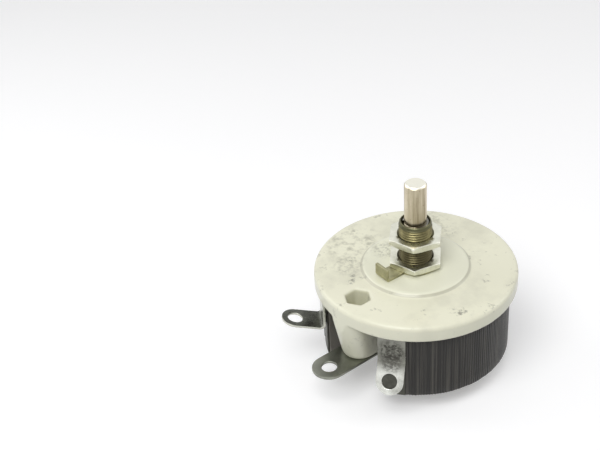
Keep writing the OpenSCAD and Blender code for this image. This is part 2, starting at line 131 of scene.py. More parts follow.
# A closed outline whose corners (x, y, radius) are rounded.
def roundedLoop(corners, steps=5):
    points = []
    n = len(corners)
    for i, (x, y, r) in enumerate(corners):
        here = np.array([x, y], float)
        before = np.array(corners[i - 1][:2], float) - here
        after = np.array(corners[(i + 1) % n][:2], float) - here
        lb, la = np.linalg.norm(before), np.linalg.norm(after)
        before, after = before / lb, after / la
        angle = math.acos(max(-1, min(1, float(before @ after))))
        if r <= 0 or angle > math.pi - 1e-3:
            points.append(here)
            continue
        reach = min(r / math.tan(angle / 2), 0.48 * lb, 0.48 * la)  # never past the middle of a side
        radius = reach * math.tan(angle / 2)
        middle = here + (before + after) / np.linalg.norm(before + after) * radius / math.sin(angle / 2)
        a, b = here + before * reach - middle, here + after * reach - middle
        start = math.atan2(a[1], a[0])
        sweep = (math.atan2(b[1], b[0]) - start + math.pi) % tau - math.pi
        for k in range(steps + 1):
            t = start + sweep * k / steps
            points.append(middle + radius * np.array([math.cos(t), math.sin(t)]))
    return np.array(points)


# Faces of a grid of n rings with m points each.
def gridFaces(n, m, closeRings, closePoints=True):
    rows = n if closeRings else n - 1
    cols = m if closePoints else m - 1
    i, j = np.meshgrid(np.arange(rows), np.arange(cols), indexing="ij")
    i, j = i.ravel(), j.ravel()
    i2, j2 = (i + 1) % n, (j + 1) % m
    return np.stack([i * m + j, i * m + j2, i2 * m + j2, i2 * m + j], 1).tolist()


def gridObject(name, grid, closeRings=True, caps=True, closePoints=True):
    n, m = grid.shape[:2]
    faces = gridFaces(n, m, closeRings, closePoints)
    if caps and not closeRings:
        faces.append(list(range(m)))
        faces.append(list(range((n - 1) * m, n * m)))
    return makeObject(name, grid.reshape(-1, 3), faces)


# A section of (radius, height) points set at an angle round the axis
def atAngle(section, a):
    return np.stack([section[:, 0] * math.cos(a), section[:, 0] * math.sin(a), section[:, 1]], 1)


# Sweeps a section round the axis. The shift function can push each point, and soft ends are rounded.
def swept(name, section, angles=None, steps=128, shift=None, softEnds=0):
    section = np.asarray(section, float)
    sections = [section] * steps
    if angles is None:
        turns = np.arange(steps) * tau / steps
    else:
        turns = np.linspace(rad(angles[0]), rad(angles[1]), steps)
    if softEnds:
        middle = section.mean(0)
        away = section - middle
        inner = middle + away - np.sign(away) * np.minimum(softEnds, np.abs(away))
        half = (inner + section) / 2 + (section - inner) * 0.2
        sections = [inner, half] + [section] * (steps - 2) + [half, inner]
        edge = softEnds / abs(middle[0])
        first, last = turns[0], turns[-1]
        turns = np.concatenate([[first, first + 0.3 * edge], turns[1:-1], [last - 0.3 * edge, last]])
        turns[2] = max(turns[2], first + edge)
    rings = [atAngle(s if shift is None else shift(a, s.copy()), a) for a, s in zip(turns, sections)]
    return gridObject(name, np.array(rings), closeRings=angles is None)


# A body turned on the axis from a profile that starts and ends at radius 0.
def turned(name, profile, steps=96):
    section = np.asarray(profile, float)
    rings = [atAngle(section, a) for a in np.arange(steps) * tau / steps]
    return gridObject(name, np.array(rings), closePoints=False)


def prism(name, outline, z0, z1):
    low = [(x, y, z0) for x, y in outline]
    high = [(x, y, z1) for x, y in outline]
    return gridObject(name, np.array([low, high]), closeRings=False)


def loopNormals(loop):
    tiny = 1e-9
    ahead = np.roll(loop, -1, 0) - loop
    back = loop - np.roll(loop, 1, 0)
    ahead /= np.maximum(np.linalg.norm(ahead, axis=1, keepdims=True), tiny)
    back /= np.maximum(np.linalg.norm(back, axis=1, keepdims=True), tiny)
    along = ahead + back
    along /= np.maximum(np.linalg.norm(along, axis=1, keepdims=True), tiny)
    stretch = np.clip((along * ahead).sum(1, keepdims=True), 0.5, 1)
    return np.stack([along[:, 1], -along[:, 0]], 1) / stretch


def area(loop):
    x, y = loop[:, 0], loop[:, 1]
    return float((x * np.roll(y, -1) - y * np.roll(x, -1)).sum() / 2)


# A flat plate with rounded edges, from an outline, its holes and the heights of its two faces
def plate(name, outline, holes, z0, z1, edge=0.12):
    loops = [outline if area(outline) > 0 else outline[::-1]]
    loops += [h if area(h) < 0 else h[::-1] for h in holes]
    bm = bmesh.new()
    curve = [(1, 0), (0.55, 0.15), (0.15, 0.55), (0, 1)]  # inset and rise, as shares of the edge
    levels = [(inset * edge, z0 + rise * edge) for inset, rise in curve]
    levels += [(inset * edge, z1 - rise * edge) for inset, rise in reversed(curve)]
    lower, upper = [], []
    for loop in loops:
        normal = loopNormals(loop)
        rings = []
        for inset, z in levels:
            flat = (loop - normal * inset) * mm
            rings.append([bm.verts.new((p[0], p[1], z * mm)) for p in flat])
        m = len(loop)
        for a, b in zip(rings[:-1], rings[1:]):
            for k in range(m):
                bm.faces.new((a[k], a[(k + 1) % m], b[(k + 1) % m], b[k]))
        lower += [bm.edges.get((rings[0][k], rings[0][(k + 1) % m])) for k in range(m)]
        upper += [bm.edges.get((rings[-1][k], rings[-1][(k + 1) % m])) for k in range(m)]
    for ringEdges in (lower, upper):
        bmesh.ops.triangle_fill(bm, use_beauty=True, use_dissolve=False, edges=ringEdges)
    bmesh.ops.recalc_face_normals(bm, faces=bm.faces)
    for face in bm.faces:
        face.smooth = True
    mesh = bpy.data.meshes.new(name)
    bm.to_mesh(mesh)
    bm.free()
    obj = bpy.data.objects.new(name, mesh)
    scene.collection.objects.link(obj)
    return obj


def circle(radius, x=0, y=0, steps=64):
    t = np.arange(steps) * tau / steps
    return np.stack([x + radius * np.cos(t), y + radius * np.sin(t)], 1)


def arc(radius, x, y, start, end, steps):
    t = np.linspace(rad(start), rad(end), steps)
    return np.stack([x + radius * np.cos(t), y + radius * np.sin(t)], 1)


# Bends a flat plate: x runs along it, y across it and z through its thickness.
# It bends after the length flat, by the angle, with the outer radius on the side z = 0.
def bent(obj, flat, angle, outer, thick, origin, along, across, out):
    turn = rad(angle)
    middle = (outer - thick / 2) * turn
    bm = bmesh.new()
    bm.from_mesh(obj.data)
    cuts = max(4, int(abs(angle) / 5))
    for k in range(cuts + 1):
        x = (flat + middle * k / cuts) * mm
        bmesh.ops.bisect_plane(bm, geom=bm.verts[:] + bm.edges[:] + bm.faces[:], dist=1e-7,
            plane_co=(x, 0, 0), plane_no=(1, 0, 0))
    origin, along, across, out = (np.array(v, float) for v in (origin, along, across, out))
    for v in bm.verts:
        x, y, z = (c / mm for c in v.co)
        if x <= flat:
            u, w = x, z
        else:
            phi = min((x - flat) / (outer - thick / 2), turn)
            rest = max(x - flat - middle, 0)
            reach = outer - z
            u = flat + reach * math.sin(phi) + rest * math.cos(turn)
            w = outer - reach * math.cos(phi) + rest * math.sin(turn)
        v.co = Vector((origin + along * u + across * y + out * w) * mm)
    bmesh.ops.recalc_face_normals(bm, faces=bm.faces)
    bm.to_mesh(obj.data)
    bm.free()
    return obj


# A round wire along a path
def tube(name, path, radius, sides):
    path = np.asarray(path, float)
    along = np.gradient(path, axis=0)
    along /= np.linalg.norm(along, axis=1, keepdims=True)
    side = np.cross(along[0], (0, 0, 1))
    grid = np.zeros((len(path), sides, 3))
    for i in range(len(path)):
        side = side - along[i] * (side @ along[i])
        side /= np.linalg.norm(side)
        other = np.cross(along[i], side)
        for k in range(sides):
            t = tau * k / sides
            grid[i, k] = path[i] + radius * (side * math.cos(t) + other * math.sin(t))
    return gridObject(name, grid, closeRings=False)


# Materials

# Every finish: its colour, a second colour that patches take, and how rough and how bumpy it is.
# Zones change the colour from one height to another, as (from, to, colour, amount).
# Stains and painted shade are mottled spots, as (place, radius, colour, amount, where the mottle starts, where it
# ends).
finishes = dict(
    baseCeramic=dict(colour=(0.79, 0.78, 0.62), patch=(0.5, 0.49, 0.39), amount=0.55, scale=70, rough=0.34,
        spread=0.12, bump=0.01, coat=0.25, marks=(0.1, 0.095, 0.075), marksAmount=0.75, low=0.46, high=0.72,
        # Painted shade: the rim's side and the foot below the top are darkened, and the foot more towards its
        # bottom.
        zones=[(-4.5, -5.2, (0.66, 0.66, 0.53), 0.6), (-9, -20, (0.56, 0.56, 0.45), 0.5),
            # Painted shade on the step up to the platform, and the platform's top painted light again over it.
            (-3.63, -3.5, (0.36, 0.35, 0.27), 0.5), (-3.1, -2.9, (0.82, 0.82, 0.66), 0.85)],
        # Grey mottled patches on the top at the left and back: partly real smudges, partly painted shade.
        spotsAndPaintedShade=[((-21, -6, -3.7), 11, (0.2, 0.19, 0.14), 0.5, 0.46, 0.66),
            ((-12, 14, -3.7), 12, (0.2, 0.19, 0.14), 0.45, 0.46, 0.66),
            ((-13, -14, -3.7), 6, (0.24, 0.23, 0.18), 0.4, 0.44, 0.62),
            ((-10, -2, -2.7), 5, (0.2, 0.19, 0.14), 0.45, 0.46, 0.62)]),
    hubCeramic=dict(colour=(0.7, 0.67, 0.57), patch=(0.52, 0.49, 0.41), amount=0.4, scale=260, rough=0.55,
        spread=0.1, bump=0.02),
    coreCeramic=dict(colour=(0.7, 0.67, 0.58), patch=(0.45, 0.42, 0.35), amount=0.4, scale=260, rough=0.6,
        spread=0.1, bump=0.02,
        # Painted shade: a near-black patch on the core's outside where it shows in the gap between the end bands.
        spotsAndPaintedShade=[((0, -26.5, -19), 24, (0.045, 0.04, 0.032), 0.95, 0.05, 0.2)]),
    bushingBrass=dict(colour=(0.2, 0.178, 0.088), patch=(0.07, 0.064, 0.03), amount=0.8, scale=400,
        rough=0.33, spread=0.15, bump=0.008, metal=1,
        # Painted shade: the thread below the mounting nut and the front recess round the shaft are darkened.
        zones=[(6.5, 4.5, (0.075, 0.066, 0.035), 0.85), (10.3, 10.8, (0.1, 0.1, 0.06), 0.8)]),
    nutNickel=dict(colour=(0.78, 0.78, 0.68), patch=(0.5, 0.5, 0.42), amount=0.6, scale=260, rough=0.3,
        spread=0.18, bump=0.006, metal=1),
    shaftNickel=dict(colour=(0.68, 0.61, 0.46), patch=(0.25, 0.21, 0.13), amount=0.9, scale=520, rough=0.34,
        spread=0.2, bump=0.01, metal=1, stretch=(1, 1, 0.07), marks=(0.2, 0.11, 0.07), marksAmount=0.8,
        # Painted highlight: the front end face is lightened to cream.
        zones=[(23.6, 23.8, (0.86, 0.85, 0.76), 0.9)]),
    springSteel=dict(colour=(0.22, 0.215, 0.19), patch=(0.12, 0.115, 0.1), amount=0.5, scale=500,
        rough=0.35, spread=0.15, bump=0.008, metal=1),
    zincPlate=dict(colour=(0.46, 0.44, 0.27), patch=(0.27, 0.26, 0.16), amount=0.9, scale=330, rough=0.4,
        spread=0.2, bump=0.01, metal=0.9),
    brightTin=dict(colour=(0.74, 0.75, 0.7), patch=(0.3, 0.3, 0.27), amount=0.9, scale=170, rough=0.24,
        spread=0.2, bump=0.02, metal=1,
        # Painted shade: the lug is darkened from the top down to the bend, so only the tilted tongue stays
        # bright.
        zones=[(-20.5, -17.5, (0.17, 0.17, 0.145), 0.9)],
        spotsAndPaintedShade=[((15.0, -23.4, -13.6), 4.6, (0.035, 0.033, 0.028), 0.9, 0.38, 0.56),
            ((15.1, -23.5, -17.2), 3.6, (0.06, 0.057, 0.05), 0.75, 0.4, 0.58)]),
    # Painted dark reflection: the centre terminal's tin is coloured dark grey.
    tinPaintedDarkReflection=dict(colour=(0.3, 0.31, 0.265), patch=(0.17, 0.175, 0.15), amount=0.8, scale=150, rough=0.36,
        spread=0.15, bump=0.008, metal=1),
    # Painted dark reflection on the left lug's face, with a painted highlight on its sides.
    tinPaintedShadeLitSides=dict(colour=(0.13, 0.135, 0.115), patch=(0.035, 0.035, 0.03), amount=0.9, scale=230, rough=0.28,
        spread=0.15, bump=0.015, metal=1, edges=(0.62, 0.62, 0.55)),
    # Painted shade: the end bands are nearly black, as the shade behind the lugs that shows through their holes.
    bandPaintedShade=dict(colour=(0.1, 0.1, 0.085), patch=(0.03, 0.03, 0.025), amount=0.9, scale=200, rough=0.4,
        spread=0.2, bump=0.01, metal=1),
    rivetBrass=dict(colour=(0.5, 0.41, 0.2), patch=(0.32, 0.26, 0.12), amount=0.5, scale=400, rough=0.34,
        spread=0.15, bump=0.008, metal=1),
    graphite=dict(colour=(0.045, 0.043, 0.04), patch=(0.085, 0.08, 0.075), amount=0.5, scale=600,
        rough=0.45, spread=0.15, bump=0.01),
    wireAlloy=dict(colour=(0.36, 0.345, 0.3), patch=(0.2, 0.185, 0.16), amount=0.6, scale=600, rough=0.36,
        spread=0.15, bump=0.005, metal=1),
    blackEnamel=dict(colour=(0.01, 0.009, 0.007), patch=(0.07, 0.065, 0.054), amount=0.8, scale=1500,
        rough=0.3, spread=0.18, bump=0.01, specular=0.33, stretch=(1, 1, 0.012), low=0.48, high=0.64,
        zones=[(-29.0, -29.5, (0.1, 0.1, 0.075), 0.7)]),
    bondCement=dict(colour=(0.04, 0.037, 0.03), patch=(0.1, 0.09, 0.075), amount=0.6, scale=350, rough=0.5,
        spread=0.15, bump=0.02),
)

# What a finish has where it says nothing else, and the patterns that all finishes share
plainFinish = dict(stretch=(1, 1, 1), low=0.38, high=0.68, metal=0, zones=(), spotsAndPaintedShade=())
patterns = dict(fine=5, marks=2.7, marksLow=0.60, marksHigh=0.70, spotMottle=5.0, spotCore=0.55,
    edgeLow=0.9, edgeHigh=0.3, edgeAmount=0.85, coatRoughness=0.12)


class Nodes:
    def __init__(self, owner, shader):
        owner.use_nodes = True
        self.tree = owner.node_tree
        self.shader = self.tree.nodes[shader]

    def add(self, kind, **values):
        node = self.tree.nodes.new(kind)
        for key, value in values.items():
            if hasattr(node, key):
                setattr(node, key, value)
            else:
                node.inputs[key].default_value = value
        return node

    def link(self, a, b):
        self.tree.links.new(a, b)

    def noise(self, vector, scale, detail, roughness):
        node = self.add("ShaderNodeTexNoise", Scale=scale, Detail=detail, Roughness=roughness)
        self.link(vector, node.inputs["Vector"])
        return node.outputs["Fac"]

    def mix(self, factor, a, b):
        node = self.add("ShaderNodeMix", data_type="RGBA")
        for socket, value in ((node.inputs[0], factor), (node.inputs[6], a), (node.inputs[7], b)):
            if isinstance(value, (tuple, float, int)):
                socket.default_value = (*value, 1) if isinstance(value, tuple) else value
            else:
                self.link(value, socket)
        return node.outputs[2]

    def ramp(self, source, low, high, start=0, end=1):
        node = self.add("ShaderNodeMapRange")
        for key, value in (("From Min", low), ("From Max", high), ("To Min", start), ("To Max", end)):
            node.inputs[key].default_value = value
        self.link(source, node.inputs["Value"])
        return node.outputs["Result"]

    def math(self, operation, a, b):
        node = self.add("ShaderNodeMath", operation=operation)
        for socket, value in zip(node.inputs, (a, b)):
            if isinstance(value, (float, int)):
                socket.default_value = value
            else:
                self.link(value, socket)
        return node.outputs[0]

    # 1 where the backdrop is seen straight, in a reflection or through glass
    def seen(self):
        path = self.add("ShaderNodeLightPath")
        either = self.math("MAXIMUM", path.outputs["Is Camera Ray"], path.outputs["Is Glossy Ray"])
        return self.math("MAXIMUM", either, path.outputs["Is Transmission Ray"])


def makeFinish(name):
    look = dict(plainFinish, **finishes[name])
    p = patterns
    material = bpy.data.materials.new(name)
    n = Nodes(material, "Principled BSDF")
    place = n.add("ShaderNodeTexCoord")
    spot = place.outputs["Object"]
    mapping = n.add("ShaderNodeMapping")
    mapping.inputs["Scale"].default_value = look["stretch"]
    n.link(spot, mapping.inputs["Vector"])
    coarse = n.noise(mapping.outputs["Vector"], look["scale"], 5.0, 0.6)
    fine = n.noise(mapping.outputs["Vector"], look["scale"] * p["fine"], 3.0, 0.6)
    patches = n.math("MULTIPLY", n.ramp(coarse, look["low"], look["high"]), look["amount"])
    colour = n.mix(patches, look["colour"], look["patch"])
    if "marks" in look:
        flecks = n.ramp(n.noise(spot, look["scale"] * p["marks"], 6.0, 0.75), p["marksLow"], p["marksHigh"])
        colour = n.mix(n.math("MULTIPLY", flecks, look["marksAmount"]), colour, look["marks"])
    split = n.add("ShaderNodeSeparateXYZ")
    n.link(spot, split.inputs["Vector"])
    for low, high, tint, amount in look["zones"]:
        zone = n.math("MULTIPLY", n.ramp(split.outputs["Z"], low * mm, high * mm), amount)
        colour = n.mix(zone, colour, tint)
    for at, reach, tint, amount, low, high in look["spotsAndPaintedShade"]:
        away = n.add("ShaderNodeVectorMath", operation="DISTANCE")
        n.link(spot, away.inputs[0])
        away.inputs[1].default_value = [v * mm for v in at]
        near = n.ramp(away.outputs["Value"], reach * mm, p["spotCore"] * reach * mm)
        mottle = n.ramp(n.noise(spot, p["spotMottle"] / (reach * mm), 5.0, 0.65), low, high)
        colour = n.mix(n.math("MULTIPLY", n.math("MULTIPLY", near, mottle), amount), colour, tint)
    # Painted highlight: a level plate is lightened round its sides, which face sideways
    if "edges" in look:
        facing = n.add("ShaderNodeSeparateXYZ")
        n.link(place.outputs["Normal"], facing.inputs["Vector"])
        upright = n.math("ABSOLUTE", facing.outputs["Z"], 0.0)
        paintedSideLight = n.math("MULTIPLY", n.ramp(upright, p["edgeLow"], p["edgeHigh"]), p["edgeAmount"])
        colour = n.mix(paintedSideLight, colour, look["edges"])
    n.link(colour, n.shader.inputs["Base Color"])
    rough = n.math("ADD", n.math("MULTIPLY", fine, look["spread"]), look["rough"] - look["spread"] / 2)
    n.link(rough, n.shader.inputs["Roughness"])
    n.shader.inputs["Metallic"].default_value = look["metal"]
    if "coat" in look:
        n.shader.inputs["Coat Weight"].default_value = look["coat"]
        n.shader.inputs["Coat Roughness"].default_value = p["coatRoughness"]
    if "specular" in look:
        n.shader.inputs["Specular IOR Level"].default_value = look["specular"]
    bump = n.add("ShaderNodeBump", Strength=1.0, Distance=look["bump"] * mm)
    n.link(fine, bump.inputs["Height"])
    n.link(bump.outputs["Normal"], n.shader.inputs["Normal"])
    return material


materials = {name: makeFinish(name) for name in finishes}
print("finishes made")


# Gives a piece its finish, its body and the CAD nodes that it stands for.
def dress(obj, finish, body, nodes, smoothing=True):
    if smoothing:
        evenShading(obj)
    obj.data.materials.clear()
    obj.data.materials.append(materials[finish])
    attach(obj, body)
    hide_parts(*nodes)
    return obj


# Ceramic base: one moulding with a rim, a platform, a rear boss, a web and a foot with a nut pocket

base = dict(radius=29.25, top=-3.7, back=-8.6, platformTop=-2.7, platformRadius=15, slope=0.8,
    bore=4.88, bossRadius=12.2, bossBore=7.8, bossEnd=-22.5, seat=-10, seatEnd=-11.5, seatRadius=7.4,
    rimRound=1.0, footReach=22, footTop=5.5, footEnd=4.9, lean=11, softEnd=0.7, endRound=0.3,
    pocketFlats=6.6, pocketFloor=-12, screwHole=1.54, webWidth=9.8, webFrom=8.8, grain=0.36)


# Distance from a start, along the direction d, to the far side of a circle
def farSide(start, centre, radius, d):
    away = start - centre
    b = float(away @ d)
    return -b + math.sqrt(max(b * b - float(away @ away) + radius * radius, 0))


# The foot: two round ends joined, one upright and one leaning out, kept inside the rim
def footBlock():
    b = base
    heights = np.linspace(b["bossEnd"], b["top"] - 1, 16)
    count = 72
    grid = np.zeros((len(heights), count, 3))
    for i, z in enumerate(heights):
        up = z - b["bossEnd"]
        radius = b["footEnd"] + (b["footTop"] - b["footEnd"]) * up / (b["top"] - b["bossEnd"])
        shift = up * math.tan(rad(b["lean"]))
        centre = np.array([0, -b["footReach"] - shift / 2])
        soft = b["softEnd"] * max(0, 1 - up / b["softEnd"])
        for k in range(count):
            t = tau * k / count
            d = np.array([math.cos(t), math.sin(t)])
            ends = [np.array([0, -b["footReach"] - lean]) for lean in (0, shift)]
            best = max(farSide(centre, end, radius, d) for end in ends)
            rim = farSide(centre, np.zeros(2), b["radius"], d)
            reach = min(best, rim) - b["endRound"] * soft ** 2
            grid[i, k] = (d[0] * reach, centre[1] + d[1] * reach, z)
    return gridObject("footBlock", grid, closeRings=False)


def makeBase():
    b = base
    disc = swept("disc", roundedLoop([
        (b["bore"], b["seat"], 0), (b["seatRadius"], b["seat"], 0), (b["seatRadius"], b["seatEnd"], 0),
        (b["bossBore"], b["seatEnd"], 0), (b["bossBore"], b["bossEnd"], 0.3),
        (b["bossRadius"], b["bossEnd"], 0.5), (b["bossRadius"], b["back"], 0.6),
        (b["radius"], b["back"], 0.5), (b["radius"], b["top"], b["rimRound"]),
        (b["platformRadius"] + b["slope"], b["top"], 0.8), (b["platformRadius"], b["platformTop"], 0.5),
        (b["bore"], b["platformTop"], 0.3)], steps=6), steps=180)
    half = b["webWidth"] / 2
    web = prism("web", [(x, y) for x, y, r in rectangle(-half, half, -b["footReach"], -b["webFrom"], 0)],
        b["bossEnd"] + 0.02, b["back"] + 0.5)
    pocket = [(x, y - b["footReach"]) for x, y in hexagon(b["pocketFlats"], 30)]
    hole = circle(b["screwHole"], 0, -b["footReach"], 32)
    # Each shell is cut by itself, and the remesh then makes them one
    shells = [disc, footBlock(), web]
    for shell in shells:
        cutAway(shell, prism("pocket", pocket, b["pocketFloor"], b["top"] + 5))
        if shell != disc:
            cutAway(shell, prism("hole", hole, b["bossEnd"] - 2, b["pocketFloor"] + 1))
    moulding = joined("ceramicBase", shells)
    # The remesh works in millimetres
    moulding.data.transform(Matrix.Scale(1 / mm, 4))
    applyModifier(moulding, "REMESH", mode="VOXEL", voxel_size=b["grain"], use_smooth_shade=True)
    applyModifier(moulding, "SMOOTH", factor=0.5, iterations=5)
    moulding.data.transform(Matrix.Scale(mm, 4))
    dress(moulding, "baseCeramic", "housing", ["ceramic_base"], smoothing=False)


makeBase()
print("base made")


# Threaded bushing: one closed skin, with a helical thread outside and a snap ring recess in front

bushing = dict(radius=4.7625, pitch=0.794, depth=0.35, back=-10, flangeBack=-11.5, flangeFlats=12.7,
    flangeRound=0.3, front=11.75, bevel=0.5, neck=1.1, neckIn=0.22, fade=0.25, bore=3.205, recess=4.075,
    recessDepth=1, overlap=0.5,
    # Crest and root of the thread, as shares of one pitch and of the depth
    thread=[(0.0, 0.08), (0.12, 0.0), (0.24, 0.08), (0.44, 0.92), (0.56, 1.0), (0.68, 0.92)])


def makeBushing():
    b = bushing
    floor = b["front"] - b["recessDepth"]
    inner = [(b["bore"], b["back"] - b["overlap"]), (b["bore"], floor), (b["recess"] - 0.1, floor),
        (b["recess"], floor + 0.1), (b["recess"], b["front"] - 0.06), (b["recess"] + 0.06, b["front"])]
    turnsOfThread = int((b["front"] - b["back"]) / b["pitch"]) + 2
    columns = 120
    rows = [(b["back"] - b["pitch"] + (k + s) * b["pitch"], b["radius"] - b["depth"] * d)
        for k in range(turnsOfThread) for s, d in b["thread"]]
    rim = b["radius"] - b["bevel"]
    grid = []
    for i in range(columns + 1):
        t = i / columns
        line = list(inner)
        for z, r in reversed(rows):
            z = min(max(z + t * b["pitch"], b["back"]), b["front"])
            # The thread fades into a plain neck at the front
            fade = min(max((z - b["front"] + b["neck"]) / b["fade"], 0), 1)
            r += (b["radius"] - b["neckIn"] - r) * fade
            line.append((min(r, rim + (b["front"] - z), rim + (z - b["back"])), z))
        line.append((rim, b["back"] - b["overlap"]))
        a = tau * t
        grid.append([(r * math.cos(a), r * math.sin(a), z) for r, z in line])
    skin = gridObject("skin", np.array(grid), closeRings=False, caps=False)
    flange = plate("flange", roundedLoop([(x, y, b["flangeRound"]) for x, y in hexagon(b["flangeFlats"])]),
        [circle(b["bore"])], b["flangeBack"], b["back"], 0.1)
    obj = joined("threadedBushing", [skin, flange])
    dress(obj, "bushingBrass", "housing", ["threaded_bushing"], smoothing=False)


makeBushing()
print("bushing made")


# Hex nuts with a countersunk bore and softened corners

nuts = dict(flats=14.2875, edge=0.14, bore=4.8125, sink=0.5, cornerDrop=0.35,
    mountingThick=2.0, mountingHeight=5.56, mountingTurn=12.4, baseThick=1.9, baseTurn=14.4)


def hexNut(name, flats, thick, bore, sink, edge, cornerDrop):
    half = flats / 2
    reach = half / math.cos(rad(30))
    perSide = 20
    outline = []
    for k in range(6):
        a, b = rad(60 * k), rad(60 * (k + 1))
        p = np.array([math.cos(a), math.sin(a)]) * reach
        q = np.array([math.cos(b), math.sin(b)]) * reach
        for j in range(perSide):
            t = (1 - math.cos(math.pi * j / perSide)) / 2  # more points near the corners
            outline.append(p + (q - p) * t)
    outline = np.array(outline)
    length = np.linalg.norm(outline, axis=1)
    directions = outline / length[:, None]
    # The corners are rounded by pulling in what lies beyond a soft limit
    soft = half + (reach - half) * 0.93
    length = np.where(length > soft, soft + (length - soft) * 0.45, length)
    drop = np.clip((length - half * 1.035) / (reach - half), 0, 1) * cornerDrop
    lower = [(bore, sink * 0.9), (bore + sink * 0.1, sink * 0.75), (bore + sink * 0.85, 0.08),
        (bore + sink, 0.0), (half * 0.985 - edge, 0.0), (length - edge, drop),
        (length - edge * 0.3, drop + edge * 0.3), (length, drop + edge)]
    upper = [(radii, thick - z) for radii, z in reversed(lower)]
    shape = len(directions), 1
    loops = []
    for radii, z in lower + upper:
        radii, z = (np.broadcast_to(np.reshape(v, (-1, 1)), shape) for v in (radii, z))
        loops.append(np.concatenate([directions * radii, z], 1))
    return gridObject(name, np.stack(loops, 1))


def makeNuts():
    n = nuts
    for name, node, body, thick, height, turn in (
            ("mountingNut", "mounting_nut", "nut", n["mountingThick"], n["mountingHeight"],
                n["mountingTurn"]),
            ("baseNut", "base_nut", "housing", n["baseThick"], -n["baseThick"], n["baseTurn"])):
        nut = hexNut(name, n["flats"], thick, n["bore"], n["sink"], n["edge"], n["cornerDrop"])
        moved(nut, z=height, turn=turn)
        dress(nut, "nutNickel", body, [node])


makeNuts()
print("nuts made")


# Locating plate: a washer under the base nut, with a strap that turns up as a tab

locating = dict(low=-2.7, thick=0.8, disc=6.8, bore=4.8125, strapFrom=5.6, width=5.1, cornerRound=0.35,
    reach=12.7, rise=1.5, outer=1.0, turn=-2.6)


def makeLocating():
    l = locating
    half = l["width"] / 2
    washer = plate("washer", circle(l["disc"], steps=96), [circle(l["bore"])],
        l["low"], l["low"] + l["thick"], 0.1)
    flat = l["reach"] - l["outer"]
    middle = (l["outer"] - l["thick"] / 2) * rad(90)
    end = flat + middle + (l["rise"] - l["low"] - l["outer"])
    outline = rectangle(l["strapFrom"], end, -half, half, 0, l["cornerRound"], l["cornerRound"], 0)
    strap = plate("strap", roundedLoop(outline), [], 0, l["thick"], 0.1)
    bent(strap, flat, 90, l["outer"], l["thick"], (0, 0, l["low"]), (0, -1, 0), (1, 0, 0), (0, 0, 1))
    obj = joined("locatingPlate", [washer, strap])
    moved(obj, turn=l["turn"])
    dress(obj, "zincPlate", "housing", ["locating_plate"])


makeLocating()
print("locating plate made")


# Shaft with a bevelled end, two snap ring grooves and a drive flat

shaft = dict(radius=3.175, front=24, bevel=0.5, bevelRound=0.15, back=-34.95, groove=2.725, flat=2.4,
    flatFrom=-20.5, frontRing=10.8, rearRing=-34.48, ringThick=0.6, ringWidth=1.1, ringGap=55, play=0.02)


def makeShaft():
    s = shaft
    r, g = s["radius"], s["groove"]
    lowA, lowB = s["rearRing"] - s["play"], s["rearRing"] + s["ringThick"] + s["play"]
    topA, topB = s["frontRing"] - s["play"], s["frontRing"] + s["ringThick"] + s["play"]
    profile = roundedLoop([(0, s["back"], 0), (r, s["back"], 0.12),
        (r, lowA, 0.03), (g, lowA, 0), (g, lowB, 0), (r, lowB, 0.05),
        (r, s["flatFrom"] - 0.01, 0), (r, s["flatFrom"] + 0.01, 0),
        (r, topA, 0.03), (g, topA, 0), (g, topB, 0), (r, topB, 0.05),
        (r, s["front"] - s["bevel"], s["bevelRound"]), (r - s["bevel"], s["front"], s["bevelRound"]),
        (0, s["front"], 0)], steps=4)
    obj = turned("controlShaft", profile, steps=120)
    for v in obj.data.vertices:
        if v.co.z < s["flatFrom"] * mm and v.co.y > s["flat"] * mm:
            v.co.y = s["flat"] * mm
    dress(obj, "shaftNickel", "rotor", ["shaft"])


def snapRing(name, z, node):
    s = shaft
    inner = s["groove"] + s["play"]
    section = rectangle(inner, inner + s["ringWidth"], z, z + s["ringThick"], 0.1, 0.18, 0.18, 0.1)
    angles = -90 + s["ringGap"], 270 - s["ringGap"]
    obj = swept(name, roundedLoop(section), angles=angles, steps=72, softEnds=0.15)
    dress(obj, "springSteel", "rotor", [node])


makeShaft()
snapRing("frontSnapRing", shaft["frontRing"], "front_snap_ring")
snapRing("rearSnapRing", shaft["rearRing"], "rear_snap_ring")
print("shaft made")


# Wound ring: core, turns of wire, enamel ribs over them, end bands and the bond to the base

winding = dict(turns=164, coreOut=26.5, coreIn=22.0, coreTop=-9.69, coreBack=-29.54, coreRound=0.5, gap=46,
    bandFrom=25, bandArc=15.5, bandRound=0.8, bandInRound=0.36, sheet=0.45, seat=0.02, wireRadius=0.225,
    wireRound=0.7, wireSides=6, enamel=0.2, rib=0.18, ribRows=6, ribSteps=8, enamelTop=-9.0, bondTop=-8.62)


def makeCore():
    w = winding
    section = roundedLoop(rectangle(w["coreIn"], w["coreOut"], w["coreBack"], w["coreTop"], w["coreRound"]))
    angles = -90 + w["gap"] / 2, 270 - w["gap"] / 2
    core = swept("ceramicCore", section, angles=angles, steps=160, softEnds=0.3)
    dress(core, "coreCeramic", "housing", ["ceramic_core"])


